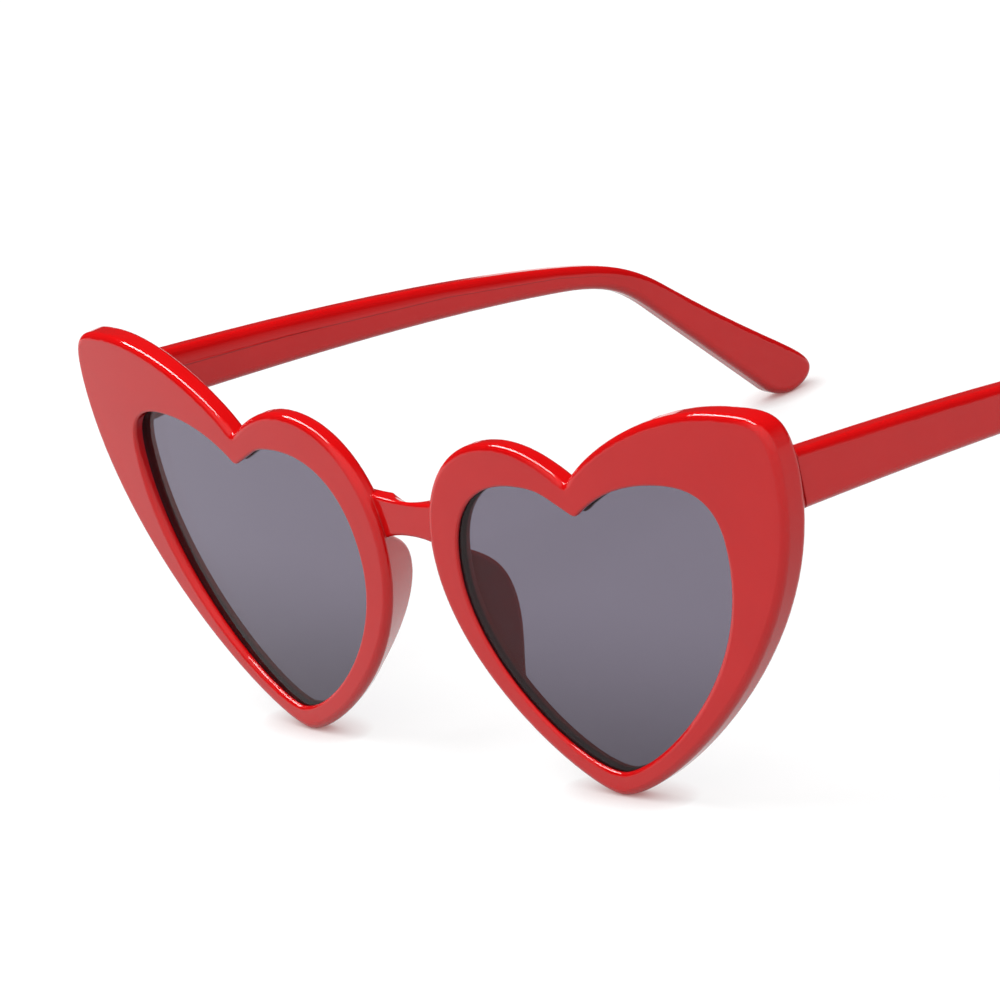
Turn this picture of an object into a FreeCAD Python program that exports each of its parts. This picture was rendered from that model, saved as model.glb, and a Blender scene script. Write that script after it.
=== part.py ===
"""Heart-shaped sunglasses: a moulded front with two lenses, and two temples on screwed hinges.

The frame of the part: X runs across the front, +Y runs back along the temples and +Z is up.
The sunglasses stand on the tips of the hearts and of the temples, at Z = 0.
The right-hand pieces, at +X, are modelled, and the left-hand ones are their mirror images.
Until the last step, Y = 0 is the foremost line of the front.
"""
import FreeCAD
import Part
import math
import os
from FreeCAD import Placement, Rotation, Vector

# Driving dimensions in millimetres and degrees: alias, value, meaning
SIZES = [
    ("front_radius", 633, "wrap of the front face, seen from above"),
    ("back_radius", 470, "wrap of the back face, so the rims thicken outwards"),
    ("rim_depth", 2.7, "front to back at the middle of the front"),
    ("heart_height", 56.9, "floor to the top of the outer lobe"),
    ("heart_reach", 74.4, "middle plane to the outer side of a heart"),
    ("nasal_reach", 5.4, "middle plane to the nasal side of a heart"),
    ("nasal_drop", 18.3, "that side's fullest place below the inner lobe"),
    ("inner_lobe_inset", 17.6, "nasal side to the top of the inner lobe, across"),
    ("inner_lobe_drop", 7.2, "inner lobe below the outer lobe"),
    ("notch_inset", 12.6, "inner lobe to the notch, across"),
    ("notch_drop", 4.6, "notch below the inner lobe"),
    ("outer_lobe_inset", 9.9, "outer side to the top of the outer lobe, across"),
    ("temporal_drop", 8.1, "outer side's fullest place below the outer lobe"),
    ("tip_inset", 28.1, "nasal side to the tip of the heart, across"),
    ("rim_nasal", 5.4, "rim's width at its nasal side"),
    ("rim_inner_lobe", 5.8, "rim's width at the inner lobe"),
    ("rim_notch", 4.6, "rim's width at the notch"),
    ("rim_outer_lobe", 10.6, "rim's width at the outer lobe"),
    ("rim_temporal", 11.8, "rim's width at its outer side"),
    ("rim_tip", 3.5, "rim's width at the tip"),
    ("hole_nasal_drop", 14.9, "opening: nasal side below the inner lobe"),
    ("hole_inner_lobe_inset", 14.9, "opening: nasal side to the inner lobe, across"),
    ("hole_notch_shift", 0.8, "opening: notch outside the heart's notch, across"),
    ("hole_outer_lobe_inset", 8.6, "opening: outer side to the outer lobe, across"),
    ("hole_temporal_drop", 7.6, "opening: outer side below the outer lobe"),
    ("hole_tip_shift", 0.8, "opening: tip outside the heart's tip, across"),
    ("front_round", 1.0, "radius of the front's outer edge"),
    ("back_round", 0.8, "radius of the back's outer edge"),
    ("lip_round", 0.3, "radius of an opening's front edge at the top and the nose"),
    ("tip_lip_round", 0.5, "radius of that edge at the tip"),
    ("temporal_lip_round", 0.7, "radius of that edge at the outer side"),
    ("hole_back_round", 0.35, "radius of an opening's back edge"),
    ("notch_round", 0.5, "radius in the notch of a heart"),
    ("hole_notch_round", 1.0, "radius of the point in a lens opening"),
    ("lens_thickness", 1.3, "lens sheet"),
    ("lens_back_lip", 0.95, "rim behind the lens"),
    ("lens_bite", 0.8, "how far the lens enters its groove"),
    ("lens_play", 0.05, "clearance of the lens in its groove"),
    ("bridge_drop", 16.2, "underside of the bridge below the inner lobes"),
    ("bridge_height", 5.1, "bridge bar at the middle"),
    ("bridge_crown", 0.9, "rise of the bar's top at its ends"),
    ("bridge_arch", 4.0, "fall of the bar's underside at its ends"),
    ("bridge_setback", 1.4, "bridge's face behind the foremost line"),
    ("bridge_depth", 2.5, "bridge bar, front to back at the middle"),
    ("bridge_end_depth", 1.3, "bridge bar, front to back at its ends"),
    ("bridge_root", 3.2, "length of the bar inside each rim"),
    ("bridge_round", 0.7, "radius of the bridge's edges"),
    ("saddle_radius", 9.0, "hollow in the top of the bridge"),
    ("saddle_slope", 36, "angle at which the hollow falls towards the nose"),
    ("saddle_lip", 0.4, "bridge's top left whole in front of the hollow"),
    ("pad_lap", 1.0, "nose pad's upper end above the bridge's underside"),
    ("pad_foot", 9.5, "nose pad's foot above the floor"),
    ("pad_crest", 0.38, "nose pad's deepest place below its upper end, as a share of its height"),
    ("pad_back", 8.2, "how far back it reaches"),
    ("pad_sink", 0.5, "depth of its ends inside the back of the rim"),
    ("pad_wall", 2.2, "thickness across a nose pad, along X"),
    ("pad_splay", 28, "angle at which the nose side leans off the nose"),
    ("pad_round", 0.6, "radius of a pad's back edge"),
    ("parting_gap", 0.1, "straight stretch of the nose side behind its rounded front edge"),
    ("block_proud", 0.9, "end block behind the back of the rim, at the temple"),
    ("block_margin", 0.7, "end block past the hinge's leaf"),
    ("temple_inset", 1.6, "temple's outer face inside the outer side of the heart"),
    ("temple_thickness", 3.8, "temple, side to side"),
    ("temple_lean", 1.0, "angle at which the open temples draw together"),
    ("temple_gap", 0.15, "clearance between the end block and the open temple"),
    ("temple_round", 1.1, "radius of the long edges of the temple and the end block"),
    ("root_lift", 1.7, "temple's top above the fullest place of the heart's outer side"),
    ("root_height", 8.0, "temple's height at the hinge"),
    ("waist_reach", 82.5, "hinge to the temple's slimmest place"),
    ("waist_fall", 14.4, "temple's top there below its top at the hinge"),
    ("waist_height", 4.1, "temple's height there"),
    ("bend_length", 20.5, "slimmest place to the end of the ear bend, along Y"),
    ("bend_fall", 9.8, "fall of the temple's top along that bend"),
    ("bend_width", 4.6, "width of the ear piece at the end of the bend"),
    ("ear_length", 26.6, "end of the bend to the end of the temple, along Y"),
    ("ear_end_rise", 2.8, "height of the rearmost point of the ear piece"),
    ("tip_length", 8.0, "length of the ear piece's foot"),
    ("toe_round", 3.0, "size of the rounding at the front of that foot"),
    ("knuckle_radius", 1.4, "hinge barrel"),
    ("knuckle_height", 1.6, "each of the barrel's three knuckles"),
    ("knuckle_gap", 0.05, "clearance between knuckles"),
    ("hinge_standoff", 0.2, "barrel's clearance from the plastic"),
    ("leaf_thickness", 0.9, "hinge leaf"),
    ("leaf_length", 6.0, "hinge leaf"),
    ("leaf_play", 0.03, "clearance of a leaf in its recess"),
    ("screw_radius", 0.6, "shank of the hinge screw"),
    ("screw_play", 0.03, "clearance of the screw in the knuckles"),
    ("screw_head_radius", 1.1, "head of the hinge screw"),
    ("screw_head_height", 0.45, "head of the hinge screw"),
    ("screw_slot", 0.3, "width of the driver slot"),
]

# Fullness of the curve between two neighbouring points of a heart, as shares of their distance:
# handle at the first point, handle at the second
HEART_FULLNESS = [(0.42, 0.31), (0.59, 0.58), (0.57, 0.20), (0.20, 0.53), (0.97, 0.72), (0.40, 0.24)]
HOLE_FULLNESS = [(0.54, 0.48), (0.62, 0.63), (0.52, 0.31), (0.20, 0.57), (0.47, 0.85), (0.42, 0.33)]
# Directions in which the outline leaves the notch inwards and comes back to it from the outer lobe
HEART_NOTCH_HEADINGS = (144, 228)
HOLE_NOTCH_HEADINGS = (155, 218)
# Slopes of the temple's side outline, in degrees: along its top, and along its underside
TOP_SLOPES = (-7, -15)
UNDER_SLOPES = (-5, -11.5)

doc = FreeCAD.newDocument("heart_sunglasses")


def fill_sheet():
    """The sheet of driving dimensions, with one alias a row."""
    table = doc.addObject("Spreadsheet::Sheet", "Sizes")
    for row, (alias, value, meaning) in enumerate(SIZES, start=1):
        table.set(f"A{row}", alias)
        table.set(f"B{row}", str(value))
        table.setAlias(f"B{row}", alias)
        table.set(f"C{row}", meaning)
    doc.recompute()
    return table


sheet = fill_sheet()


def size(alias):
    """A driving dimension as a number."""
    return float(sheet.get(alias))


def bind(item, **expressions):
    """Ties properties of an object to expressions, in which [alias] stands for a cell."""
    for name, words in expressions.items():
        item.setExpression(name, words.replace("[", "Sizes.").replace("]", ""))


def add(kind, name, **expressions):
    """A new object of the document, with its sizes bound to the sheet."""
    item = doc.addObject(kind, name)
    bind(item, **expressions)
    return item


def arc_sag(radius, reach):
    """How far an arc of that radius falls back at a reach from its crown."""
    return radius - math.sqrt(radius**2 - reach**2)


def heading(angle):
    """Unit vector at an angle, in degrees, in a sketch's plane."""
    return Vector(math.cos(math.radians(angle)), math.sin(math.radians(angle)), 0)


def curve(start, start_handle, end, end_handle):
    """A cubic curve between two points, with a handle vector at each."""
    bezier = Part.BezierCurve()
    bezier.setPoles([start, start + start_handle, end - end_handle, end])
    return bezier.toBSpline()


# Heart outlines: points are (X, Z), listed from the notch round by the nose


def heart_points():
    """Notch, inner lobe, nasal side, tip, outer side and outer lobe of a heart."""
    nose = size("nasal_reach")
    outside = size("heart_reach")
    top = size("heart_height")
    lobe = Vector(nose + size("inner_lobe_inset"), top - size("inner_lobe_drop"), 0)
    notch = lobe + Vector(size("notch_inset"), -size("notch_drop"), 0)
    nasal = Vector(nose, lobe.y - size("nasal_drop"), 0)
    tip = Vector(nose + size("tip_inset"), 0, 0)
    temporal = Vector(outside, top - size("temporal_drop"), 0)
    outer_lobe = Vector(outside - size("outer_lobe_inset"), top, 0)
    return [notch, lobe, nasal, tip, temporal, outer_lobe]


def hole_points(grow=0.0):
    """The same points of a lens opening, each moved outwards by grow."""
    notch, lobe, nasal, tip, temporal, outer_lobe = heart_points()
    nose = nasal.x + size("rim_nasal")
    outside = temporal.x - size("rim_temporal")
    lobe_top = lobe.y - size("rim_inner_lobe")
    outer_top = outer_lobe.y - size("rim_outer_lobe")
    return [
        Vector(notch.x + size("hole_notch_shift"), notch.y - size("rim_notch") + grow, 0),
        Vector(nose + size("hole_inner_lobe_inset"), lobe_top + grow, 0),
        Vector(nose - grow, lobe_top - size("hole_nasal_drop"), 0),
        Vector(tip.x + size("hole_tip_shift"), size("rim_tip") - grow, 0),
        Vector(outside + grow, outer_top - size("hole_temporal_drop"), 0),
        Vector(outside - size("hole_outer_lobe_inset"), outer_top + grow, 0),
    ]


def heart_sketch(name, points, fullness, notch_headings, shift, turn=0.0):
    """A closed heart of six curves, drawn upright in the plane of the front, turned about Z."""
    leave, arrive = notch_headings
    out_headings = [leave, 180, 270, 0, 90, 180]
    in_headings = [180, 270, 0, 90, 180, arrive]
    sketch = doc.addObject("Sketcher::SketchObject", name)
    upright = Rotation(Vector(1, 0, 0), 90)
    sketch.Placement = Placement(shift, Rotation(Vector(0, 0, 1), turn).multiply(upright))
    for index, start in enumerate(points):
        end = points[(index + 1) % len(points)]
        handles = []
        for angle, share in zip((out_headings[index], in_headings[index]), fullness[index]):
            direction = heading(angle)
            span = abs(direction.x * (end.x - start.x)) + abs(direction.y * (end.y - start.y))
            handles.append(direction * span * share)
        sketch.addGeometry(curve(start, handles[0], end, handles[1]), False)
    return sketch


def outer_heart(name, shift=Vector(0, 0, 0), turn=0.0):
    """The heart's outline, stretched so that a turned one looks the same from the front."""
    stretch = 1 / math.cos(math.radians(turn))
    points = [Vector(point.x * stretch, point.y, 0) for point in heart_points()]
    return heart_sketch(name, points, HEART_FULLNESS, HEART_NOTCH_HEADINGS, shift, turn)


def hole_heart(name, grow=0.0):
    return heart_sketch(name, hole_points(grow), HOLE_FULLNESS, HOLE_NOTCH_HEADINGS, Vector(0, 0, 0))


# Document helpers


def extrude(name, sketch, direction, length):
    """A solid swept from a sketch along a direction."""
    solid = add("Part::Extrusion", name)
    solid.Base = sketch
    solid.DirMode = "Custom"
    solid.Dir = direction
    solid.LengthFwd = length
    solid.Solid = True
    return solid


def boolean(kind, name, base, tool):
    item = doc.addObject(kind, name)
    item.Base = base
    item.Tool = tool
    return item


def fuse(name, *items):
    item = doc.addObject("Part::MultiFuse", name)
    item.Shapes = list(items)
    item.Refine = True
    return item


def mirrored(name, source):
    """The left-hand twin of a right-hand piece."""
    item = doc.addObject("Part::Mirroring", name)
    item.Source = source
    item.Normal = Vector(1, 0, 0)
    return item


def middle_of(edge):
    return edge.valueAt((edge.FirstParameter + edge.LastParameter) / 2)


def round_edges(name, base, chosen):
    """Fillets on the edges that chosen gives, as (edge, radius at its start, radius at its end)."""
    doc.recompute()
    item = doc.addObject("Part::Fillet", name)
    item.Base = base
    numbered = []
    for edge, start, end in chosen(base.Shape):
        index = next(i for i, other in enumerate(base.Shape.Edges, start=1) if other.isSame(edge))
        numbered.append((index, start, end))
    item.Edges = numbered
    return item


def upright_edge(shape, point):
    """The straight edge along Y that passes through a point of a heart."""
    for edge in shape.Edges:
        middle = edge.CenterOfMass
        if math.hypot(middle.x - point.x, middle.z - point.y) < NEAR:
            return edge
    raise ValueError("no edge runs through that point")


def wrapped_layer(name, front, back):
    """The layer between two upright cylinders: each a radius and its crown on the middle plane."""
    drums = []
    for side, (radius, crown) in (("outside", front), ("inside", back)):
        drum = add("Part::Cylinder", f"{name}_{side}", Height="[heart_height] + 2 * [rim_depth]")
        drum.Radius = radius
        drum.Placement = Placement(Vector(0, crown + radius, -size("rim_depth")), Rotation())
        drums.append(drum)
    return boolean("Part::Cut", name, *drums)


# Places worked out from the driving dimensions
NEAR = 0.01
BACKWARD = Vector(0, 1, 0)
TEMPLE_OUTSIDE = size("heart_reach") - size("temple_inset")
TEMPLE_INSIDE = TEMPLE_OUTSIDE - size("temple_thickness")
ROOT_TOP = size("heart_height") - size("temporal_drop") + size("root_lift")
BARREL_STANDOFF = size("knuckle_radius") + size("hinge_standoff")
BUTT = size("rim_depth") + arc_sag(size("back_radius"), TEMPLE_OUTSIDE) + size("block_proud")
PIVOT = Vector(TEMPLE_INSIDE - BARREL_STANDOFF, BUTT + BARREL_STANDOFF, 0)
LEAF_HEIGHT = 3 * size("knuckle_height") + 2 * size("knuckle_gap")
BARREL_FOOT = ROOT_TOP - size("root_height") / 2 - LEAF_HEIGHT / 2
BRIDGE_UNDERSIDE = size("heart_height") - size("inner_lobe_drop") - size("bridge_drop")
PAD_TOP = BRIDGE_UNDERSIDE + size("pad_lap")
PRISM_DEPTH = 2 * BUTT


# Front


def lens_layer(play):
    """Front and back of the lens, each a radius and its crown. They run parallel to the rim's back."""
    back_lip = size("lens_back_lip") - play
    front_lip = size("lens_back_lip") + size("lens_thickness") + play
    crown = size("rim_depth")
    radius = size("back_radius")
    return (radius + front_lip, crown - front_lip), (radius + back_lip, crown - back_lip)


def lip_round(point):
    """Radius of an opening's front edge at one of its points, within the lip before the lens."""
    _, _, _, tip, temporal, _ = hole_points()
    rounds = ((tip, "tip_lip_round"), (temporal, "temporal_lip_round"))
    alias = "lip_round"
    for place, name in rounds:
        if math.hypot(point.x - place.x, point.z - place.y) < NEAR:
            alias = name
    radius, crown = lens_layer(size("lens_play"))[0]
    lip = crown + arc_sag(radius, point.x) - arc_sag(size("front_radius"), point.x)
    return min(size(alias), 0.85 * lip)


def rim():
    """One heart-shaped rim with its opening and rounded edges."""
    prism = extrude("heart_prism", outer_heart("heart_outline"), BACKWARD, PRISM_DEPTH)
    notch = heart_points()[0]
    eased = round_edges(
        "heart_prism_eased",
        prism,
        lambda shape: [(upright_edge(shape, notch), size("notch_round"), size("notch_round"))],
    )
    front = (size("front_radius"), 0.0)
    back = (size("back_radius"), size("rim_depth"))
    blank = boolean("Part::Common", "rim_blank", eased, wrapped_layer("rim_layer", front, back))
    hole = extrude("hole_prism", hole_heart("hole_outline"), BACKWARD, PRISM_DEPTH)
    point = hole_points()[0]
    hole_eased = round_edges(
        "hole_prism_eased",
        hole,
        lambda shape: [(upright_edge(shape, point), size("hole_notch_round"), size("hole_notch_round"))],
    )
    pierced = boolean("Part::Cut", "rim_pierced", blank, hole_eased)

    def wrapped_face(shape, radius):
        for face in shape.Faces:
            if isinstance(face.Surface, Part.Cylinder) and abs(face.Surface.Radius - radius) < NEAR:
                return face
        raise ValueError("the rim has no such face")

    def chosen(shape):
        rounded = []
        front_face = wrapped_face(shape, size("front_radius"))
        for wire in front_face.Wires:
            for edge in wire.Edges:
                if wire.isSame(front_face.OuterWire):
                    rounded.append((edge, size("front_round"), size("front_round")))
                else:
                    ends = [vertex.Point for vertex in edge.Vertexes]
                    rounded.append((edge, lip_round(ends[0]), lip_round(ends[-1])))
        back_face = wrapped_face(shape, size("back_radius"))
        for wire in back_face.Wires:
            alias = "back_round" if wire.isSame(back_face.OuterWire) else "hole_back_round"
            rounded += [(edge, size(alias), size(alias)) for edge in wire.Edges]
        return rounded

    return round_edges("rim", pierced, chosen), hole_eased


def nose_side():
    """The pad's fin, and the cut that leans the nose side of the rim and its pad off the nose."""
    _, _, nasal, tip, _, _ = heart_points()
    # The leaning side starts at a plane that stays behind the rounded front edge from nose to tip
    near_sag = arc_sag(size("front_radius"), nasal.x)
    slope = (arc_sag(size("front_radius"), tip.x) - near_sag) / (tip.x - nasal.x)
    turn = math.degrees(math.atan(slope))
    straight = size("front_round") + size("parting_gap")
    start = Vector(0, straight + near_sag - slope * nasal.x, 0)

    splay = math.radians(size("pad_splay"))
    slant = Vector(math.sin(splay), math.cos(splay), 0)
    length = (size("pad_back") + size("rim_depth")) / math.cos(splay)
    wall = Vector(size("pad_wall"), 0, 0)
    leaning = extrude("nose_side", outer_heart("nose_side_outline", start, turn), slant, length)
    inside = extrude("pad_inside", outer_heart("pad_inner_outline", start + wall, turn), slant, length)
    shell = boolean("Part::Cut", "pad_shell", leaning, inside)

    # Seen from the side, the pad swells out of the back of the rim and sinks into it again
    sunk = size("rim_depth") - size("pad_sink")
    top = Vector(sunk, PAD_TOP, 0)
    foot = Vector(sunk, size("pad_foot"), 0)
    tall = PAD_TOP - size("pad_foot")
    crest = Vector(size("pad_back"), PAD_TOP - tall * size("pad_crest"), 0)
    upper = heading(90) * (top.y - crest.y)
    lower = heading(90) * (crest.y - foot.y)
    hump = doc.addObject("Sketcher::SketchObject", "pad_hump")
    hump.Placement = Placement(Vector(0, 0, 0), Rotation(Vector(1, 1, 1), 120))
    hump.addGeometry(curve(foot, lower * 0.19, crest, lower * 0.42), False)
    hump.addGeometry(curve(crest, upper * 0.68, top, upper * 0.32), False)
    top_front = Vector(0, top.y, 0)
    foot_front = Vector(0, foot.y, 0)
    hump.addGeometry(Part.LineSegment(top, top_front), False)
    hump.addGeometry(Part.LineSegment(top_front, foot_front), False)
    hump.addGeometry(Part.LineSegment(foot_front, foot), False)
    side = extrude("pad_side", hump, Vector(1, 0, 0), tip.x)
    fin = boolean("Part::Common", "pad_fin", shell, side)

    def chosen(shape):
        """The long edges round the back of the pad, on its nose side and its other side."""
        rounded = []
        for edge in shape.Edges:
            climbs = abs(edge.Vertexes[0].Z - edge.Vertexes[-1].Z) > size("pad_round")
            middle = middle_of(edge)
            on_start = abs(middle.y - start.y - slope * middle.x) < NEAR
            if climbs and not on_start:
                rounded.append((edge, size("pad_round"), size("pad_round")))
        return rounded

    pad = round_edges("pad", fin, chosen)
    relief = add("Part::Box", "nose_relief_box", Length="[nasal_reach] + 1.5 * [tip_inset]")
    relief.Width = length
    # The cut ends halfway up the bridge, whose root hides its upper end
    relief.Height = BRIDGE_UNDERSIDE + size("bridge_height") / 2 + size("rim_tip")
    corner = start - Vector(0, 0, size("rim_tip"))
    relief.Placement = Placement(corner, Rotation(Vector(0, 0, 1), turn))
    return pad, boolean("Part::Cut", "nose_relief", relief, leaning)


def end_block(hole_prism):
    """The thickened end of the front, as deep as the temple that closes against it."""
    inner = PIVOT.x + size("knuckle_radius") - size("leaf_length") - size("block_margin")
    rim_front = arc_sag(size("front_radius"), TEMPLE_OUTSIDE)
    rim_back = size("rim_depth") + arc_sag(size("back_radius"), inner)
    # The block starts midway inside the rim, behind its front face all along
    start = (rim_front + rim_back) / 2
    box = add("Part::Box", "end_block_box", Height="[root_height]")
    box.Length = TEMPLE_OUTSIDE - inner
    box.Width = BUTT - start
    box.Placement = Placement(Vector(inner, start, ROOT_TOP - size("root_height")), Rotation())

    def chosen(shape):
        """The four edges that run back."""
        radius = size("temple_round")
        along = [edge for edge in shape.Edges if abs(edge.tangentAt(edge.FirstParameter).y) > 0.5]
        return [(edge, radius, radius) for edge in along]

    rounded = round_edges("end_block_rounded", box, chosen)
    return boolean("Part::Cut", "end_block", rounded, hole_prism)


def bridge():
    """The bar between the rims, arched below, bowed at its back and hollowed at its top."""
    half = size("nasal_reach") + size("bridge_root")
    low = BRIDGE_UNDERSIDE
    high = low + size("bridge_height")
    low_end = Vector(half, low - size("bridge_arch"), 0)
    high_end = Vector(half, high + size("bridge_crown"), 0)
    across = heading(0) * half
    sketch = doc.addObject("Sketcher::SketchObject", "bridge_outline")
    sketch.Placement = Placement(Vector(0, size("bridge_setback"), 0), Rotation(Vector(1, 0, 0), 90))
    drop = heading(-75) * size("bridge_arch")
    under = curve(Vector(0, low, 0), across * 0.6, low_end, drop * 0.7)
    over = curve(high_end, heading(196) * half * 0.3, Vector(0, high, 0), -across * 0.4)
    sketch.addGeometry(under, False)
    sketch.addGeometry(Part.LineSegment(low_end, high_end), False)
    sketch.addGeometry(over, False)
    for line in (under, over):
        twin = Part.BezierCurve()
        twin.setPoles([Vector(-pole.x, pole.y, 0) for pole in line.getPoles()])
        sketch.addGeometry(twin.toBSpline(), False)
    sketch.addGeometry(
        Part.LineSegment(Vector(-half, high_end.y, 0), Vector(-half, low_end.y, 0)), False
    )
    bar = extrude("bridge_bar", sketch, BACKWARD, size("bridge_depth"))
    bow = size("bridge_depth") - size("bridge_end_depth")
    radius = (half**2 + bow**2) / (2 * bow)
    drum = add("Part::Cylinder", "bridge_back", Height="[heart_height]")
    drum.Radius = radius
    back = size("bridge_setback") + size("bridge_depth")
    drum.Placement = Placement(Vector(0, back - radius, 0), Rotation())
    bowed = boolean("Part::Common", "bridge_bowed", bar, drum)

    def chosen(shape):
        """The long edges, except the one behind the top, which the hollow takes away."""
        wall = min(size("bridge_end_depth"), size("bridge_height"))
        radius = min(size("bridge_round"), 0.35 * wall)
        rounded = []
        for edge in shape.Edges:
            lengthwise = abs(edge.tangentAt(edge.FirstParameter).x) > 0.5
            spans = abs(edge.Vertexes[0].X - edge.Vertexes[-1].X) > half / 2
            top_back = edge.Vertexes[0].Z > low and middle_of(edge).y > size("bridge_setback") + radius
            if (lengthwise or spans) and not top_back:
                rounded.append((edge, radius, radius))
        return rounded

    rounded = round_edges("bridge_rounded", bowed, chosen)
    slope = size("saddle_slope")
    hollow = add("Part::Cylinder", "bridge_hollow", Radius="[saddle_radius]", Height="6 * [bridge_depth]")
    lip = size("bridge_setback") + size("saddle_lip")
    # The hollow's lowest line starts at the lip on the bar's top and falls backwards
    turned = Rotation(Vector(1, 0, 0), -90 - slope)
    up = turned.multVec(Vector(0, -1, 0))
    along = turned.multVec(Vector(0, 0, 1))
    start = Vector(0, lip, high) + up * size("saddle_radius") - along * size("bridge_depth")
    hollow.Placement = Placement(start, turned)
    return boolean("Part::Cut", "bridge", rounded, hollow)


def lens_solid(name, grow, play):
    """A heart-shaped piece of the lens layer, with play added all round."""
    prism = extrude(f"{name}_prism", hole_heart(f"{name}_outline", grow + play), BACKWARD, PRISM_DEPTH)
    return boolean("Part::Common", name, prism, wrapped_layer(f"{name}_layer", *lens_layer(play)))


def front_leaf_recess():
    """The recess in the end block for the front hinge's leaf."""
    play = size("leaf_play")
    box = add(
        "Part::Box",
        "front_leaf_recess",
        Length="[leaf_length] + 2 * [leaf_play]",
        Width="2 * ([leaf_thickness] + [leaf_play])",
        Height="3 * [knuckle_height] + 2 * [knuckle_gap] + 2 * [leaf_play]",
    )
    corner = Vector(
        PIVOT.x + size("knuckle_radius") - size("leaf_length") - play,
        BUTT - size("leaf_thickness") - play,
        BARREL_FOOT - play,
    )
    box.Placement = Placement(corner, Rotation())
    return box


def front_frame():
    rounded_rim, hole_prism = rim()
    pad, relief = nose_side()
    leaning_rim = boolean("Part::Cut", "leaning_rim", rounded_rim, relief)
    half = fuse("front_half", leaning_rim, pad, end_block(hole_prism))
    groove = lens_solid("lens_groove", size("lens_bite"), size("lens_play"))
    grooved = boolean("Part::Cut", "front_half_grooved", half, groove)
    right = boolean("Part::Cut", "front_half_right", grooved, front_leaf_recess())
    left = mirrored("front_half_left", right)
    return fuse("front_frame", right, left, bridge())


# Temple: its side outline is drawn from the butt at the hinge, with Y across and Z up


def temple_curves():
    """The closed side outline, from the top at the hinge over the tip and back below."""
    top_root, top_waist = (heading(angle) for angle in TOP_SLOPES)
    under_root, under_waist = (heading(angle) for angle in UNDER_SLOPES)
    reach = size("waist_reach")
    bend = size("bend_length")
    root = Vector(0, ROOT_TOP, 0)
    root_low = root - Vector(0, size("root_height"), 0)
    waist = Vector(reach, ROOT_TOP - size("waist_fall"), 0)
    waist_low = waist - Vector(0, size("waist_height"), 0)
    elbow = waist + Vector(bend, -size("bend_fall"), 0)
    end = Vector(elbow.x + size("ear_length"), size("ear_end_rise"), 0)
    ear = (end - elbow).Length
    along = (end - elbow).normalize()
    elbow_low = elbow + Vector(along.y, -along.x, 0) * size("bend_width")
    corner = Vector(end.x - size("tip_length"), 0, 0)
    under = (corner - elbow_low).normalize()
    toe_round = size("toe_round")
    heel = corner - under * toe_round
    toe = corner + heading(0) * toe_round
    level = heading(180) * toe_round * 0.55
    end_fall = Vector(-0.15, -1, 0) * size("ear_end_rise")
    return [
        curve(root, top_root * reach * 0.35, waist, top_waist * reach * 0.3),
        curve(waist, top_waist * bend * 0.45, elbow, along * bend * 0.4),
        curve(elbow, along * ear * 0.75, end, end_fall * 1.1),
        curve(end, end_fall * 0.7, toe, level),
        curve(toe, level, heel, -under * toe_round * 0.55),
        Part.LineSegment(heel, elbow_low),
        curve(elbow_low, -under * bend * 0.3, waist_low, -under_waist * bend * 0.5),
        curve(waist_low, -under_waist * reach * 0.3, root_low, -under_root * reach * 0.35),
        Part.LineSegment(root_low, root),
    ]


def origin_plane(body, role):
    return next(f for f in body.Origin.OriginFeatures if f.Role == role)


def side_sketch(body, name, start):
    """A sketch on the temple's inner face, which starts at a distance along Y from the pivot."""
    sketch = body.newObject("Sketcher::SketchObject", name)
    sketch.AttachmentSupport = (origin_plane(body, "YZ_Plane"), [""])
    sketch.MapMode = "FlatFace"
    sketch.AttachmentOffset = Placement(Vector(start, 0, BARREL_STANDOFF), Rotation())
    return sketch


def temple():
    """The temple in its hinge's frame: the pivot is the Z axis, and the outer face looks to +X."""
    body = doc.addObject("PartDesign::Body", "temple_right")
    butt = size("temple_gap") - BARREL_STANDOFF
    outline = side_sketch(body, "temple_outline", butt)
    for piece in temple_curves():
        outline.addGeometry(piece, False)
    pad = body.newObject("PartDesign::Pad", "temple_side")
    pad.Profile = outline
    bind(pad, Length="[temple_thickness]")
    doc.recompute()
    names = []
    for index, edge in enumerate(pad.Shape.Edges, start=1):
        lengthwise = abs(edge.tangentAt(edge.FirstParameter).x) < 0.5
        if lengthwise and middle_of(edge).y > butt + NEAR:
            names.append(f"Edge{index}")
    fillet = body.newObject("PartDesign::Fillet", "temple_edges")
    fillet.Base = (pad, names)
    bind(fillet, Radius="[temple_round]")
    doc.recompute()

    play = size("leaf_play")
    recess = side_sketch(body, "temple_leaf_outline", butt)
    low = Vector(0, BARREL_FOOT - play, 0)
    high = Vector(size("leaf_length") + play - butt, BARREL_FOOT + LEAF_HEIGHT + play, 0)
    corners = [low, Vector(high.x, low.y, 0), high, Vector(low.x, high.y, 0)]
    for index, corner in enumerate(corners):
        recess.addGeometry(Part.LineSegment(corner, corners[(index + 1) % len(corners)]), False)
    pocket = body.newObject("PartDesign::Pocket", "temple_leaf_recess")
    pocket.Profile = recess
    pocket.Reversed = True
    bind(pocket, Length="[leaf_thickness] + [leaf_play]")
    whole = fillet.Shape.Volume
    doc.recompute()
    if pocket.Shape.Volume > whole - size("leaf_length") * size("leaf_thickness"):
        raise ValueError("the recess for the hinge leaf cuts too little")
    body.Placement = Placement(PIVOT, Rotation(Vector(0, 0, 1), size("temple_lean")))
    return body


# Hinge: each half is drawn with the pivot as its Z axis


def knuckle(name, number):
    """One knuckle of the barrel, counted from its foot."""
    barrel = add("Part::Cylinder", name, Radius="[knuckle_radius]", Height="[knuckle_height]")
    pitch = size("knuckle_height") + size("knuckle_gap")
    barrel.Placement = Placement(Vector(0, 0, BARREL_FOOT + number * pitch), Rotation())
    return barrel


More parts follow.
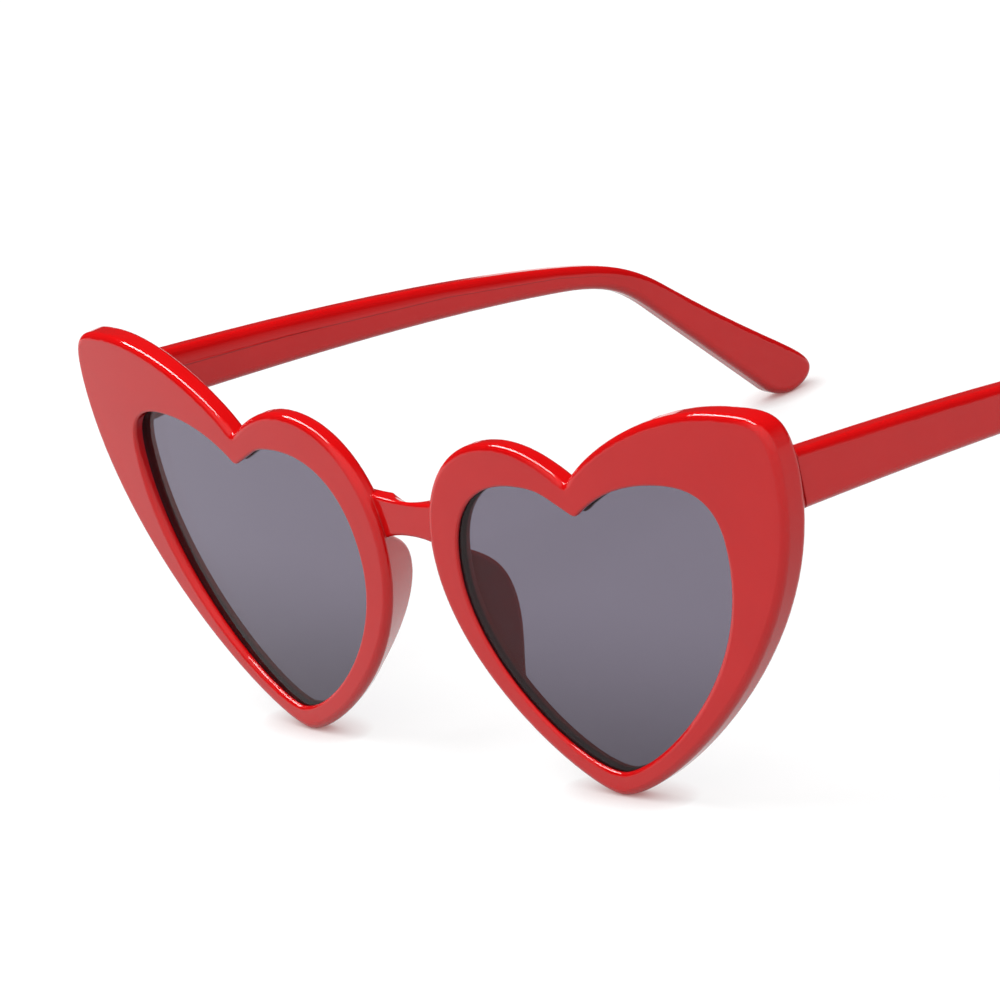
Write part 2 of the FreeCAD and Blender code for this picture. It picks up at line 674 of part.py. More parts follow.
def web(name, number, length, width, corner):
    """The strap that joins a knuckle to its leaf."""
    strap = add("Part::Box", name, Height="[knuckle_height]")
    strap.Length = length
    strap.Width = width
    pitch = size("knuckle_height") + size("knuckle_gap")
    strap.Placement = Placement(corner + Vector(0, 0, BARREL_FOOT + number * pitch), Rotation())
    return strap


def bored(name, blank):
    """A hinge half with the hole for its screw."""
    hole = add("Part::Cylinder", f"{name}_bore", Radius="[screw_radius] + [screw_play]")
    hole.Height = LEAF_HEIGHT + 2 * size("knuckle_radius")
    hole.Placement = Placement(Vector(0, 0, BARREL_FOOT - size("knuckle_radius")), Rotation())
    return boolean("Part::Cut", name, blank, hole)


def hinge_front():
    """The leaf let into the end block, with the upper and lower knuckles."""
    radius = size("knuckle_radius")
    leaf = add(
        "Part::Box",
        "front_leaf",
        Length="[leaf_length]",
        Width="[leaf_thickness]",
        Height="3 * [knuckle_height] + 2 * [knuckle_gap]",
    )
    corner = Vector(radius - size("leaf_length"), -BARREL_STANDOFF - size("leaf_thickness"), BARREL_FOOT)
    leaf.Placement = Placement(corner, Rotation())
    pieces = [leaf]
    for number in (0, 2):
        pieces.append(knuckle(f"front_knuckle_{number}", number))
        depth = BARREL_STANDOFF + size("leaf_thickness") / 2
        pieces.append(web(f"front_web_{number}", number, radius * 1.6, depth, Vector(-radius, -depth, 0)))
    half = bored("hinge_front_right", fuse("front_hinge_blank", *pieces))
    half.Placement = Placement(PIVOT, Rotation())
    return half


def hinge_temple():
    """The leaf let into the temple's inner face, with the middle knuckle."""
    radius = size("knuckle_radius")
    leaf = add(
        "Part::Box",
        "temple_leaf",
        Length="[leaf_thickness]",
        Width="[leaf_length] + [knuckle_radius]",
        Height="3 * [knuckle_height] + 2 * [knuckle_gap]",
    )
    leaf.Placement = Placement(Vector(BARREL_STANDOFF, -radius, BARREL_FOOT), Rotation())
    depth = BARREL_STANDOFF + size("leaf_thickness") / 2
    strap = web("temple_web", 1, depth, radius * 1.6, Vector(0, -radius * 0.6, 0))
    blank = fuse("temple_hinge_blank", leaf, knuckle("temple_knuckle", 1), strap)
    half = bored("hinge_temple_right", blank)
    half.Placement = Placement(PIVOT, Rotation(Vector(0, 0, 1), size("temple_lean")))
    return half


def hinge_screw():
    """The slotted screw that the temple turns on."""
    shank = add(
        "Part::Cylinder",
        "screw_shank",
        Radius="[screw_radius]",
        Height="3 * [knuckle_height] + 2 * [knuckle_gap]",
    )
    shank.Placement = Placement(Vector(0, 0, BARREL_FOOT), Rotation())
    head = add("Part::Cylinder", "screw_head", Radius="[screw_head_radius]", Height="[screw_head_height]")
    top = BARREL_FOOT + LEAF_HEIGHT
    head.Placement = Placement(Vector(0, 0, top), Rotation())
    slot = add(
        "Part::Box",
        "screw_slot_cut",
        Length="3 * [screw_head_radius]",
        Width="[screw_slot]",
        Height="[screw_head_height]",
    )
    corner = Vector(-1.5 * size("screw_head_radius"), -size("screw_slot") / 2, top)
    slot.Placement = Placement(corner + Vector(0, 0, size("screw_head_height") / 2), Rotation())
    screw = boolean("Part::Cut", "hinge_screw_right", fuse("screw_blank", shank, head), slot)
    screw.Placement = Placement(PIVOT, Rotation())
    return screw


# Assembly


def build():
    """The right-hand and single pieces, by node name."""
    pieces = {
        "front_frame": front_frame(),
        "lens_right": lens_solid("lens_right", size("lens_bite"), 0.0),
        "temple_right": temple(),
        "hinge_front_right": hinge_front(),
        "hinge_temple_right": hinge_temple(),
        "hinge_screw_right": hinge_screw(),
    }
    doc.recompute()
    return pieces


def check_objects():
    """Stops the build where an object of the document failed."""
    for item in doc.Objects:
        if "Invalid" in item.State or "Error" in item.State:
            raise ValueError(f"{item.Name} failed: {item.State}")


def centre(pieces):
    """Moves every piece so that the middle of the part's depth lies over the origin."""
    boxes = [piece.Shape.optimalBoundingBox(False, False) for piece in pieces.values()]
    front = min(box.YMin for box in boxes)
    back = max(box.YMax for box in boxes)
    shift = Placement(Vector(0, -(front + back) / 2, 0), Rotation())
    for piece in pieces.values():
        piece.Placement = shift.multiply(piece.Placement)
    doc.recompute()
    axis = shift.multVec(PIVOT)
    middle = BARREL_FOOT + LEAF_HEIGHT / 2
    print(f"right hinge axis: X {axis.x:.4f}, Y {axis.y:.4f}, middle at Z {middle:.3f}")


def add_left(pieces):
    """The mirror images of the right-hand pieces."""
    for name in [name for name in pieces if name.endswith("_right")]:
        left = name.replace("_right", "_left")
        pieces[left] = mirrored(left, pieces[name])
    doc.recompute()


def check_pieces(pieces):
    """Stops the build where a piece isn't one sound solid."""
    for name, piece in pieces.items():
        shape = piece.Shape
        if shape.isNull() or not shape.isValid() or len(shape.Solids) != 1:
            raise ValueError(f"{name} isn't one valid solid")


def export(pieces):
    os.makedirs("parts", exist_ok=True)
    for name, piece in pieces.items():
        piece.Label = name
        piece.Shape.exportStep(os.path.join("parts", f"{name}.step"))
        box = piece.Shape.optimalBoundingBox(False, False)
        print(
            f"{name}: {piece.Shape.Volume:.1f} mm3, X {box.XMin:.2f} to {box.XMax:.2f},"
            f" Y {box.YMin:.2f} to {box.YMax:.2f}, Z {box.ZMin:.2f} to {box.ZMax:.2f}"
        )


sub_parts = build()
check_objects()
centre(sub_parts)
add_left(sub_parts)
check_objects()
check_pieces(sub_parts)
export(sub_parts)
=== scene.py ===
"""Finishes, light and camera for a pair of heart-shaped sunglasses in glossy red plastic.

The shapes come from the solid model. This file gives each piece its finish, sets the part on a
pale studio floor and looks at it from the upper right, as a shop would show it.
"""
import math

import bpy
from bpy.props import FloatProperty, FloatVectorProperty, PointerProperty
from mathutils import Matrix, Vector


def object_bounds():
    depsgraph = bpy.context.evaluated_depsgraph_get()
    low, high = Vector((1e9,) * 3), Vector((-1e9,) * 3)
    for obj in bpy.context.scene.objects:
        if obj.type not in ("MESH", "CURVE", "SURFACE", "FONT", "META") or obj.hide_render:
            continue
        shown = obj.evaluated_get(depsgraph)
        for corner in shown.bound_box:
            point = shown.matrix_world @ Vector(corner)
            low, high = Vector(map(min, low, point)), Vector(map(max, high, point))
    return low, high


bl_info = {
    "name": "Heart-Shaped Sunglasses",
    "version": (1, 0, 0),
    "blender": (4, 5, 0),
    "location": "3D View > Sidebar > Sunglasses",
    "description": "Finishes, studio and camera for heart-shaped sunglasses",
    "category": "Object",
}

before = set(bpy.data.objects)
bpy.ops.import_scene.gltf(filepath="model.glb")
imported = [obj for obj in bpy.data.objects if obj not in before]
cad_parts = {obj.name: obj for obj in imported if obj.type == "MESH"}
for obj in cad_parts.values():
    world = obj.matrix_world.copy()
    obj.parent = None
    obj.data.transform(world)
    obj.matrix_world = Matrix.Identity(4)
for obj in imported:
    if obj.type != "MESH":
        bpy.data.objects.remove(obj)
CAD_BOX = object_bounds()

FRONT = ["front_frame"]
TEMPLES = ["temple_right", "temple_left"]
LENSES = ["lens_right", "lens_left"]
HINGES = [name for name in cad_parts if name.startswith("hinge_")]

MILLIMETRE = 0.001
WHITE = (1.0, 1.0, 1.0)
ACROSS = Vector((1, 0, 0))
UPRIGHT = Vector((0, 0, 1))

# A faint crease runs along each temple's inner face, and the face rolls back above it. In
# millimetres: how far back along the temple, how high the crease is, and how far the top edge
# is above it
TEMPLE_CREASE = (
    (-60.0, 47.4, 3.0),
    (-30.0, 43.8, 2.6),
    (0.0, 39.2, 2.1),
    (22.0, 34.6, 1.6),
    (30.0, 32.2, 1.6),
    (35.0, 29.9, 1.8),
    (40.0, 26.1, 2.5),
)
# Millimetres that the brightest colour of the crease's ramp stands for
CREASE_RAMP_SPAN = 100.0
# How far sideways a temple's face looks where it starts to count as its inner face, and where it
# fully does
INNER_FACING = (-0.8, -0.98)


# Sizes and colours that a user would change


def colour(label, words, value):
    """A colour in linear light, which a bright wall takes past 1."""
    return FloatVectorProperty(
        name=label, description=words, default=value, subtype="COLOR", size=3, min=0.0, soft_max=1.0
    )


def share(label, words, value):
    """A number from 0 to 1."""
    return FloatProperty(name=label, description=words, default=value, subtype="FACTOR", min=0.0, max=1.0)


def number(label, words, value):
    """A number without a unit."""
    return FloatProperty(name=label, description=words, default=value, min=0.0)


def length(label, words, value):
    """A length in metres."""
    return FloatProperty(name=label, description=words, default=value, unit="LENGTH", min=0.0)


def angle(label, words, degrees):
    """An angle, written in degrees."""
    return FloatProperty(name=label, description=words, default=math.radians(degrees), subtype="ANGLE")


def power(label, words, watts):
    """The power of a lamp."""
    return FloatProperty(name=label, description=words, default=watts, unit="POWER", min=0.0)


def point(label, words, value):
    """A place in the part's frame, in metres."""
    return FloatVectorProperty(name=label, description=words, default=value, subtype="TRANSLATION", size=3)


class PlasticFinish(bpy.types.PropertyGroup):
    """The moulded front and temples."""

    bright: colour("Bright red", "Plastic where the pigment is thin", (0.7, 0.004, 0.005))
    deep: colour("Deep red", "Plastic where the pigment is thick", (0.61, 0.002, 0.003))
    index: number("Index", "Index of refraction of the plastic", 1.4)
    gloss: share("Roughness", "Roughness of the polished surface", 0.045)
    haze: share("Haze", "Roughness that handling marks add", 0.05)
    cloud_size: length("Cloud size", "Size of the drifts in the pigment", 0.012)
    mark_size: length("Mark size", "Size of the handling marks", 0.004)
    ripple_size: length("Ripple size", "Size of the mould's faint ripples", 0.0035)
    ripple_depth: length("Ripple depth", "Depth of those ripples", 0.000002)
    edge_radius: length("Edge radius", "Radius that polishing gives to the edges", 0.00035)
    # Painted shade: a thin dark line laid along the crease on each temple's inner face
    crease: colour("Crease", "Shade in the crease along a temple's inner face", (0.2, 0.001, 0.002))
    painted_crease_cover: share("Crease cover", "How much of that shade the crease takes", 0.5)
    painted_crease_width: share("Crease width", "Half its width, as a share of the face above it", 0.03464)
    crease_tilt: angle("Crease tilt", "How far a temple's inner face rolls back at its top", 40.0)
    crease_end: length("Crease end", "How far back the crease is gone", 0.04)
    crease_fade: length("Crease fade", "Length over which it fades before that", 0.02)
    dust: colour("Dust", "Specks of dust on the gloss", (0.85, 0.62, 0.6))
    speck_spacing: length("Speck spacing", "Distance between places where dust may lie", 0.004)
    speck_size: share("Speck size", "Radius of a speck, as a share of that distance", 0.02)
    speck_share: share("Speck share", "Share of those places where dust lies", 0.2)
    speck_cover: share("Speck cover", "How much of the dust's colour a speck takes", 0.45)
    speck_haze: share("Speck haze", "Roughness that a speck adds", 0.3)


class LensFinish(bpy.types.PropertyGroup):
    """The tinted lenses."""

    clear: colour("Clear", "Violet of the light that comes through", (0.93, 0.88, 1.0))
    dye: colour("Dye", "Dark dye of the lens", (0.006, 0.004, 0.005))
    smear: colour("Smear", "Dye where a faint smear lies", (0.014, 0.011, 0.012))
    index: number("Index", "Index of refraction of the lens", 1.33)
    opacity: share("Opacity", "How much one surface of the lens holds back", 0.552)
    # Painted shade: the lens turns more opaque, so darker, towards its tip, below the given height
    shade: share("Shade", "Opacity that the lens gains towards its tip", 0.12)
    painted_shade_height: length("Shade height", "Height at which that shade starts", 0.03)
    gloss: share("Roughness", "Roughness of the polished lens", 0.025)
    haze: share("Haze", "Roughness that smears add", 0.05)
    smear_size: length("Smear size", "Length of the smears", 0.02)


class MetalFinish(bpy.types.PropertyGroup):
    """The hinges and their screws."""

    steel: colour("Steel", "Plated steel", (0.72, 0.72, 0.74))
    worn: colour("Worn steel", "Steel in the brush marks", (0.5, 0.5, 0.52))
    gloss: share("Roughness", "Roughness between the brush marks", 0.22)
    haze: share("Brushing", "Roughness that the brush marks add", 0.25)
    mark_size: length("Mark size", "Width of the brush marks", 0.0002)
    mark_depth: length("Mark depth", "Depth of the brush marks", 0.000005)


class StudioLook(bpy.types.PropertyGroup):
    """Floor, light and camera."""

    floor: colour("Floor", "Pale floor", (0.25, 0.25, 0.25))
    floor_glow: share("Floor glow", "White that the camera and reflections see on the floor", 0.75)
    floor_radius: length("Floor radius", "Size of the floor", 20.0)
    # Painted shadow: the floor's white darkens and warms to this colour near what stands on it
    contact: colour("Contact", "Floor under what stands on it, warm from the plastic", (0.4, 0.13, 0.12))
    contact_reach: length("Contact reach", "How far that contact shadow spreads", 0.0045)
    horizon: colour("Horizon", "Pale line where the floor ends", (0.8, 0.8, 0.8))
    horizon_low: share("Horizon's foot", "Slope of the sight line where the walls start to show", 0.02)
    horizon_high: share("Horizon's top", "Slope of the sight line where only the walls show", 0.1)
    near_wall: colour("Near wall", "Walls of the room on the camera's side", (1.3, 1.3, 1.3))
    far_wall: colour("Far wall", "Light from the walls behind the part", (0.45, 0.45, 0.45))
    far_flag: colour("Far flag", "Dark cloth that gloss shows in place of those walls", (0.05, 0.05, 0.05))
    wall_turn: share("Wall turn", "How squarely a wall faces the part where it is fully near", 0.5)
    lamp_place: point("Lamp place", "Where both lamps hang", (-0.75, -0.45, 2.0))
    softbox_side: length("Softbox", "Side of the softbox", 1.2)
    softbox_power: power("Softbox power", "Power of the softbox", 35.0)
    strip_length: length("Strip length", "Strip lamp from side to side", 2.2)
    strip_width: length("Strip width", "Strip lamp from front to back", 0.45)
    strip_power: power("Strip power", "Power of the strip that the gloss shows", 85.0)
    target: point("Target", "Where the camera looks, over the front's edge", (0.023213, -0.069566, 0.042064))
    azimuth: angle("Azimuth", "Camera's place round the part, from its front", 52.244)
    elevation: angle("Elevation", "Camera's height above the floor's plane", 17.748)
    roll: angle("Roll", "Camera's turn about its own axis", 12.689)
    distance: length("Distance", "Camera to the point that it looks at", 0.69178)
    focal_length: number("Focal length", "Camera's focal length in millimetres", 187.2)
    sensor_width: number("Sensor width", "Camera's sensor from side to side in millimetres", 36.0)


SETTINGS = {
    "sunglasses_plastic": PlasticFinish,
    "sunglasses_lens": LensFinish,
    "sunglasses_metal": MetalFinish,
    "sunglasses_studio": StudioLook,
}


# Shader sheets


class Wire:
    """An output of a node that takes part in sums, as a number would."""

    def __init__(self, sheet, socket):
        self.sheet = sheet
        self.socket = socket

    def reckon(self, operation, first, second):
        """Adds the node for one step of a sum."""
        return self.sheet.node("ShaderNodeMath", {"operation": operation}, {0: first, 1: second})

    def __add__(self, other):
        return self.reckon("ADD", self, other)

    def __sub__(self, other):
        return self.reckon("SUBTRACT", self, other)

    def __rsub__(self, other):
        return self.reckon("SUBTRACT", other, self)

    def __mul__(self, other):
        return self.reckon("MULTIPLY", self, other)

    def __truediv__(self, other):
        return self.reckon("DIVIDE", self, other)

    def __rtruediv__(self, other):
        return self.reckon("DIVIDE", other, self)

    def __pow__(self, other):
        return self.reckon("POWER", self, other)

    def __rpow__(self, other):
        return self.reckon("POWER", other, self)

    def __lt__(self, other):
        return self.reckon("LESS_THAN", self, other)

    def __gt__(self, other):
        return self.reckon("GREATER_THAN", self, other)

    __radd__ = __add__
    __rmul__ = __mul__


class Sheet:
    """The node tree of one finish."""

    def __init__(self, tree):
        self.tree = tree
        tree.nodes.clear()

    def node(self, kind, settings=None, sockets=None, output=0):
        """Adds a node with its settings, then fills its sockets with values or links."""
        made = self.tree.nodes.new(kind)
        for name, value in (settings or {}).items():
            if name == "stops":
                self.ramp(made.color_ramp, value)
            else:
                setattr(made, name, value)
        for key, value in (sockets or {}).items():
            if isinstance(value, Wire):
                self.tree.links.new(value.socket, made.inputs[key])
            else:
                made.inputs[key].default_value = value
        return Wire(self, made.outputs[output]) if made.outputs else None

    def ramp(self, ramp, stops):
        """Gives a colour ramp its stops, each a place from 0 to 1 and a colour."""
        while len(ramp.elements) < len(stops):
            ramp.elements.new(0.5)
        for element, (place, shade) in zip(ramp.elements, stops):
            element.position = place
            element.color = rgba(shade)

    def place(self):
        """Where a point lies on its piece, in metres."""
        return self.node("ShaderNodeTexCoord", output="Object")

    def stretched(self, place, level=1.0, upright=1.0):
        """A place whose level and upright measures are multiplied, to stretch or squeeze a pattern."""
        return self.node(
            "ShaderNodeVectorMath", {"operation": "MULTIPLY"}, {0: place, 1: (level, level, upright)}
        )

    def noise(self, place, grain, detail):
        """Soft noise whose patches are about a grain across."""
        return self.node(
            "ShaderNodeTexNoise", {}, {"Vector": place, "Scale": 1 / grain, "Detail": detail}, "Fac"
        )

    def axis(self, vector, letter):
        """One measure of a vector."""
        return self.node("ShaderNodeSeparateXYZ", {}, {"Vector": vector}, letter)

    def channel(self, shade, name):
        """One channel of a colour."""
        return self.node("ShaderNodeSeparateColor", {}, {"Color": shade}, name)

    def eased(self, value, start, end):
        """Goes smoothly from 0 at the start to 1 at the end."""
        sockets = {"Value": value, "From Min": start, "From Max": end}
        return self.node("ShaderNodeMapRange", {"interpolation_type": "SMOOTHSTEP"}, sockets)

    def blend(self, amount, first, second):
        """A colour between two others."""
        sockets = {"Factor": amount, 6: first, 7: second}
        return self.node("ShaderNodeMix", {"data_type": "RGBA"}, sockets, 2)

    def lean(self, amount, first, second):
        """A direction between two others."""
        sockets = {"Factor": amount, 4: first, 5: second}
        return self.node("ShaderNodeMix", {"data_type": "VECTOR"}, sockets, 1)

    def bump(self, height, depth, normal=None):
        """A relief, on top of another one where that is given."""
        sockets = {"Height": height, "Distance": depth, "Strength": 1.0}
        if normal:
            sockets["Normal"] = normal
        return self.node("ShaderNodeBump", {}, sockets)

    def close(self, surface):
        """Ends the sheet with its surface."""
        self.node("ShaderNodeOutputMaterial", {}, {"Surface": surface})


def rgba(shade):
    """A colour with full alpha."""
    return (*shade, 1.0)


def new_finish(name):
    """An empty material and its sheet."""
    material = bpy.data.materials.new(name)
    material.use_nodes = True
    return material, Sheet(material.node_tree)


# Finishes


def temple_crease(sheet, place):
    """How far up a point is from the crease to the top edge, and the millimetres between the two."""
    start = TEMPLE_CREASE[0][0]
    run = TEMPLE_CREASE[-1][0] - start
    stops = [
        ((back - start) / run, (crease / CREASE_RAMP_SPAN, band / CREASE_RAMP_SPAN, 0.0))
        for back, crease, band in TEMPLE_CREASE
    ]
    along = (sheet.axis(place, "Y") / MILLIMETRE - start) / run
    heights = sheet.node("ShaderNodeValToRGB", {"stops": stops}, {"Fac": along})
    crease = sheet.channel(heights, "Red") * CREASE_RAMP_SPAN
    band = sheet.channel(heights, "Green") * CREASE_RAMP_SPAN
    return (sheet.axis(place, "Z") / MILLIMETRE - crease) / band, band


def roll_inner_face(sheet, look, place, red, normal):
    """Rolls a temple's inner face back above its crease, and paints shade into the crease as a thin dark
    line.
    """
    rise, band = temple_crease(sheet, place)
    above = sheet.node("ShaderNodeMath", {"operation": "MAXIMUM"}, {0: rise, 1: 0.0})
    relief = above * above * band * (-math.tan(look.crease_tilt) / 2)
    rolled = sheet.bump(relief, MILLIMETRE, normal)
    side = sheet.node("ShaderNodeMath", {"operation": "SIGN"}, {0: sheet.axis(place, "X")})
    outwards = sheet.axis(sheet.node("ShaderNodeTexCoord", output="Normal"), "X") * side
    before_ear = sheet.eased(sheet.axis(place, "Y"), look.crease_end, look.crease_end - look.crease_fade)
    inner = sheet.eased(outwards, *INNER_FACING) * before_ear
    # Painted shade: a thin dark line along the crease, mixed into the red
    line = (rise * rise < look.painted_crease_width**2) * inner
    red = sheet.blend(line * look.painted_crease_cover, red, rgba(look.crease))
    return red, sheet.lean(inner, normal, rolled)


def moulded_plastic(look, name, creased=False):
    """Polished red plastic with drifting pigment, faint mould ripples, handling marks and dust, and on the
    temples a painted shade along the crease.
    """
    material, sheet = new_finish(name)
    place = sheet.place()
    clouds = sheet.noise(place, look.cloud_size, detail=3.0)
    handling = sheet.noise(sheet.stretched(place, upright=2.5), look.mark_size, detail=5.0)
    ripples = sheet.noise(place, look.ripple_size, detail=1.0)
    cells = {"Vector": place, "Scale": 1 / look.speck_spacing}
    near = sheet.node("ShaderNodeTexVoronoi", {}, cells, "Distance")
    lottery = sheet.channel(sheet.node("ShaderNodeTexVoronoi", {}, cells, "Color"), "Red")
    specks = (near < look.speck_size) * (lottery > 1 - look.speck_share)
    red = sheet.blend(clouds, rgba(look.deep), rgba(look.bright))
    polished = sheet.node("ShaderNodeBevel", {"samples": 6}, {"Radius": look.edge_radius})
    normal = sheet.bump(ripples, look.ripple_depth, polished)
    if creased:
        red, normal = roll_inner_face(sheet, look, place, red, normal)
    shader = sheet.node(
        "ShaderNodeBsdfPrincipled",
        {},
        {
            "Base Color": sheet.blend(specks * look.speck_cover, red, rgba(look.dust)),
            "Roughness": look.gloss + handling**2 * look.haze + specks * look.speck_haze,
            "Normal": normal,
            "IOR": look.index,
        },
    )
    sheet.close(shader)
    return material


def tinted_lens(look):
    """Dark grey lens sheet that lets a little light through, with painted shade towards its tip."""
    material, sheet = new_finish("tinted_lens")
    place = sheet.place()
    smears = sheet.noise(sheet.stretched(place, upright=0.4), look.smear_size, detail=4.0)
    # Painted shade: opacity rises towards the lens's tip and darkens it there
    low = sheet.eased(sheet.axis(place, "Z"), look.painted_shade_height, 0.0)
    polished = sheet.node(
        "ShaderNodeBsdfPrincipled",
        {},
        {
            "Base Color": sheet.blend(smears, rgba(look.dye), rgba(look.smear)),
            "Roughness": look.gloss + smears**3 * look.haze,
            "IOR": look.index,
        },
    )
    clear = sheet.node("ShaderNodeBsdfTransparent", {}, {"Color": rgba(look.clear)})
    held_back = look.opacity + low * look.shade
    sheet.close(sheet.node("ShaderNodeMixShader", {}, {0: held_back, 1: clear, 2: polished}))
    material.surface_render_method = "BLENDED"
    return material


def brushed_steel(look):
    """Plated steel, brushed along the leaves of the hinge."""
    material, sheet = new_finish("brushed_steel")
    marks = sheet.noise(sheet.stretched(sheet.place(), level=0.15), look.mark_size, detail=3.0)
    shader = sheet.node(
        "ShaderNodeBsdfPrincipled",
        {},
        {
            "Base Color": sheet.blend(marks**2, rgba(look.steel), rgba(look.worn)),
            "Metallic": 1.0,
            "Roughness": look.gloss + marks * look.haze,
            "Normal": sheet.bump(marks, look.mark_depth),
        },
    )
    sheet.close(shader)
    return material


def dress(names, material):
    """Gives the finish to pieces of the solid model."""
    for name in names:
        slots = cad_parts[name].data.materials
        slots.clear()
        slots.append(material)


# Stage


def lay_floor(look):
    """A round pale floor that keeps the shadows and looks white from the camera and in reflections; near
    what stands on it a painted contact shadow darkens and warms that white.
    """
    material, sheet = new_finish("studio_floor")
    diffuse = sheet.node("ShaderNodeBsdfDiffuse", {}, {"Color": rgba(look.floor)})
    camera = sheet.node("ShaderNodeLightPath", output="Is Camera Ray")
    gloss = sheet.node("ShaderNodeLightPath", output="Is Glossy Ray")
    glass = sheet.node("ShaderNodeLightPath", output="Is Transmission Ray")
    seen = (camera + gloss + glass) > 0.5
    # Painted shadow: near what stands on the floor, its white turns dark and warm
    reach = {"Distance": look.contact_reach}
    openness = sheet.node("ShaderNodeAmbientOcclusion", {"samples": 8}, reach, "AO")
    shade = sheet.blend(openness, rgba(look.contact), rgba(WHITE))
    glow = sheet.node("ShaderNodeEmission", {}, {"Color": shade, "Strength": seen * look.floor_glow})
    sheet.close(sheet.node("ShaderNodeAddShader", {}, {0: diffuse, 1: glow}))
    bpy.ops.mesh.primitive_circle_add(vertices=96, radius=look.floor_radius, fill_type="NGON")
    floor = bpy.context.active_object
    floor.name = "studio_floor"
    floor.data.materials.append(material)


def paint_room(look):
    """Walls that are pale on the camera's side and dim behind the part, over a pale horizon."""
    world = bpy.data.worlds.new("studio_world")
    world.use_nodes = True
    bpy.context.scene.world = world
    sheet = Sheet(world.node_tree)
    direction = sheet.node("ShaderNodeTexCoord", output="Generated")
    towards = (math.sin(look.azimuth), -math.cos(look.azimuth), 0.0)
    ahead = {0: direction, 1: towards}
    facing = sheet.node("ShaderNodeVectorMath", {"operation": "DOT_PRODUCT"}, ahead, "Value")
    mirrored = sheet.node("ShaderNodeLightPath", output="Is Glossy Ray")
    behind = sheet.blend(mirrored, rgba(look.far_wall), rgba(look.far_flag))
    walls = sheet.blend(sheet.eased(facing, 0.0, look.wall_turn), behind, rgba(look.near_wall))
    above = sheet.eased(sheet.axis(direction, "Z"), look.horizon_low, look.horizon_high) + mirrored
    shade = sheet.blend(above, rgba(look.horizon), walls)
    glow = sheet.node("ShaderNodeBackground", {}, {"Color": shade, "Strength": 1.0})
    sheet.node("ShaderNodeOutputWorld", {}, {"Surface": glow})


def hang_lamp(look, name, width, depth, watts):
    """A lamp that runs across the part and faces its middle."""
    lamp = bpy.data.lights.new(name, "AREA")
    lamp.shape = "RECTANGLE"
    lamp.size = width
    lamp.size_y = depth
    lamp.energy = watts
    made = bpy.data.objects.new(name, lamp)
    bpy.context.scene.collection.objects.link(made)
    place = Vector(look.lamp_place)
    away = (place - (CAD_BOX[0] + CAD_BOX[1]) / 2).normalized()
    along = ACROSS.cross(away).cross(away).normalized()
    pose = Matrix((along, away.cross(along), away)).transposed().to_4x4()
    pose.translation = place
    made.matrix_world = pose
    return made


def hang_lamps(look):
    """A softbox that lights the part, and a strip in the same place that only its gloss shows."""
    softbox = hang_lamp(look, "softbox", look.softbox_side, look.softbox_side, look.softbox_power)
    softbox.visible_glossy = False
    # Without this the softbox would hide part of the strip from the gloss
    softbox.data.cycles.use_multiple_importance_sampling = False
    strip = hang_lamp(look, "strip", look.strip_length, look.strip_width, look.strip_power)
    strip.visible_diffuse = False


def set_camera(look):
    """The camera stands to the right of the front and looks down at it, a little tilted."""
    back = Vector(
        (
            math.sin(look.azimuth) * math.cos(look.elevation),
            -math.cos(look.azimuth) * math.cos(look.elevation),
            math.sin(look.elevation),
        )
    )
    level = (-back).cross(UPRIGHT).normalized()
    below = (-back).cross(level)
    right = level * math.cos(look.roll) + below * math.sin(look.roll)
    up = level * math.sin(look.roll) - below * math.cos(look.roll)
    pose = Matrix((right, up, back)).transposed().to_4x4()
    pose.translation = Vector(look.target) + back * look.distance
    camera = bpy.data.cameras.new("camera")
    camera.lens = look.focal_length
    camera.sensor_width = look.sensor_width
    camera.clip_end = 2 * look.floor_radius
    made = bpy.data.objects.new("camera", camera)
    bpy.context.scene.collection.objects.link(made)
    made.matrix_world = pose
    bpy.context.scene.camera = made


# Operators and panel


class SUNGLASSES_OT_front(bpy.types.Operator):
    """Give the front its polished red plastic"""

    bl_idname = "sunglasses.finish_front"
    bl_label = "Finish Front"

    def execute(self, context):
        dress(FRONT, moulded_plastic(context.scene.sunglasses_plastic, "front_plastic"))
        return {"FINISHED"}


class SUNGLASSES_OT_temples(bpy.types.Operator):
    """Give both temples the same plastic, with a crease along their inner faces and painted shade in it"""

    bl_idname = "sunglasses.finish_temples"
    bl_label = "Finish Temples"

    def execute(self, context):
        dress(TEMPLES, moulded_plastic(context.scene.sunglasses_plastic, "temple_plastic", creased=True))
        return {"FINISHED"}


class SUNGLASSES_OT_lenses(bpy.types.Operator):
    """Give both lenses their dark tint"""

    bl_idname = "sunglasses.finish_lenses"
    bl_label = "Finish Lenses"

    def execute(self, context):
        dress(LENSES, tinted_lens(context.scene.sunglasses_lens))
        return {"FINISHED"}


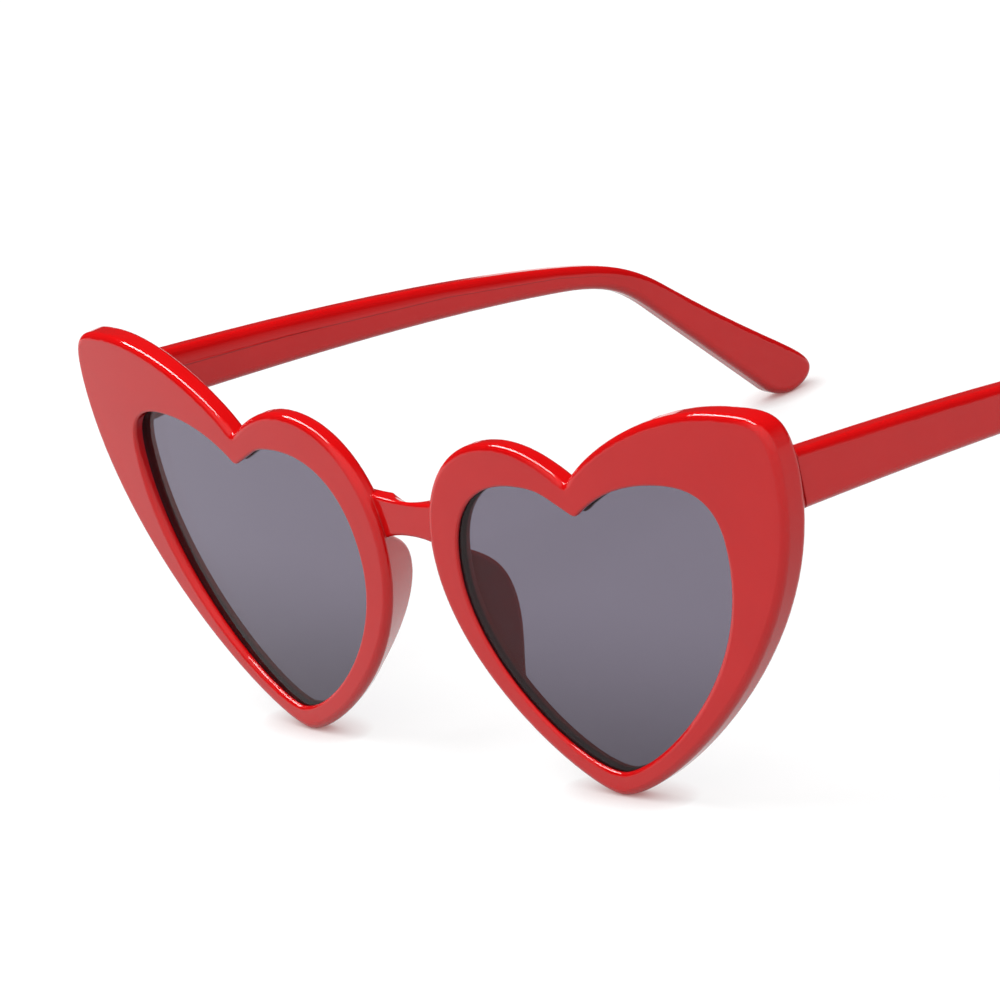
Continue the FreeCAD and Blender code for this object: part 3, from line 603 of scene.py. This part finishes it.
class SUNGLASSES_OT_hinges(bpy.types.Operator):
    """Give the hinges and their screws brushed steel"""

    bl_idname = "sunglasses.finish_hinges"
    bl_label = "Finish Hinges"

    def execute(self, context):
        dress(HINGES, brushed_steel(context.scene.sunglasses_metal))
        return {"FINISHED"}


class SUNGLASSES_OT_stage(bpy.types.Operator):
    """Lay the floor, paint the room, hang the lamps and set the camera"""

    bl_idname = "sunglasses.set_stage"
    bl_label = "Set Stage"

    def execute(self, context):
        look = context.scene.sunglasses_studio
        context.scene.view_settings.view_transform = "Standard"
        lay_floor(look)
        paint_room(look)
        hang_lamps(look)
        set_camera(look)
        return {"FINISHED"}


OPERATORS = (
    SUNGLASSES_OT_stage,
    SUNGLASSES_OT_front,
    SUNGLASSES_OT_temples,
    SUNGLASSES_OT_lenses,
    SUNGLASSES_OT_hinges,
)


class SUNGLASSES_PT_panel(bpy.types.Panel):
    """Finishes and stage of the sunglasses"""

    bl_label = "Sunglasses"
    bl_idname = "SUNGLASSES_PT_panel"
    bl_space_type = "VIEW_3D"
    bl_region_type = "UI"
    bl_category = "Sunglasses"

    def draw(self, context):
        for settings in SETTINGS:
            box = self.layout.box()
            group = getattr(context.scene, settings)
            for name in group.bl_rna.properties.keys():
                if name not in ("rna_type", "name"):
                    box.prop(group, name)
        for operator in OPERATORS:
            self.layout.operator(operator.bl_idname)


CLASSES = (*SETTINGS.values(), *OPERATORS, SUNGLASSES_PT_panel)


def register():
    for entry in CLASSES:
        bpy.utils.register_class(entry)
    for name, group in SETTINGS.items():
        setattr(bpy.types.Scene, name, PointerProperty(type=group))


def unregister():
    for name in SETTINGS:
        delattr(bpy.types.Scene, name)
    for entry in reversed(CLASSES):
        bpy.utils.unregister_class(entry)


def main():
    register()
    bpy.ops.sunglasses.set_stage()
    bpy.ops.sunglasses.finish_front()
    bpy.ops.sunglasses.finish_temples()
    bpy.ops.sunglasses.finish_lenses()
    bpy.ops.sunglasses.finish_hinges()


if __name__ == "__main__":
    main()
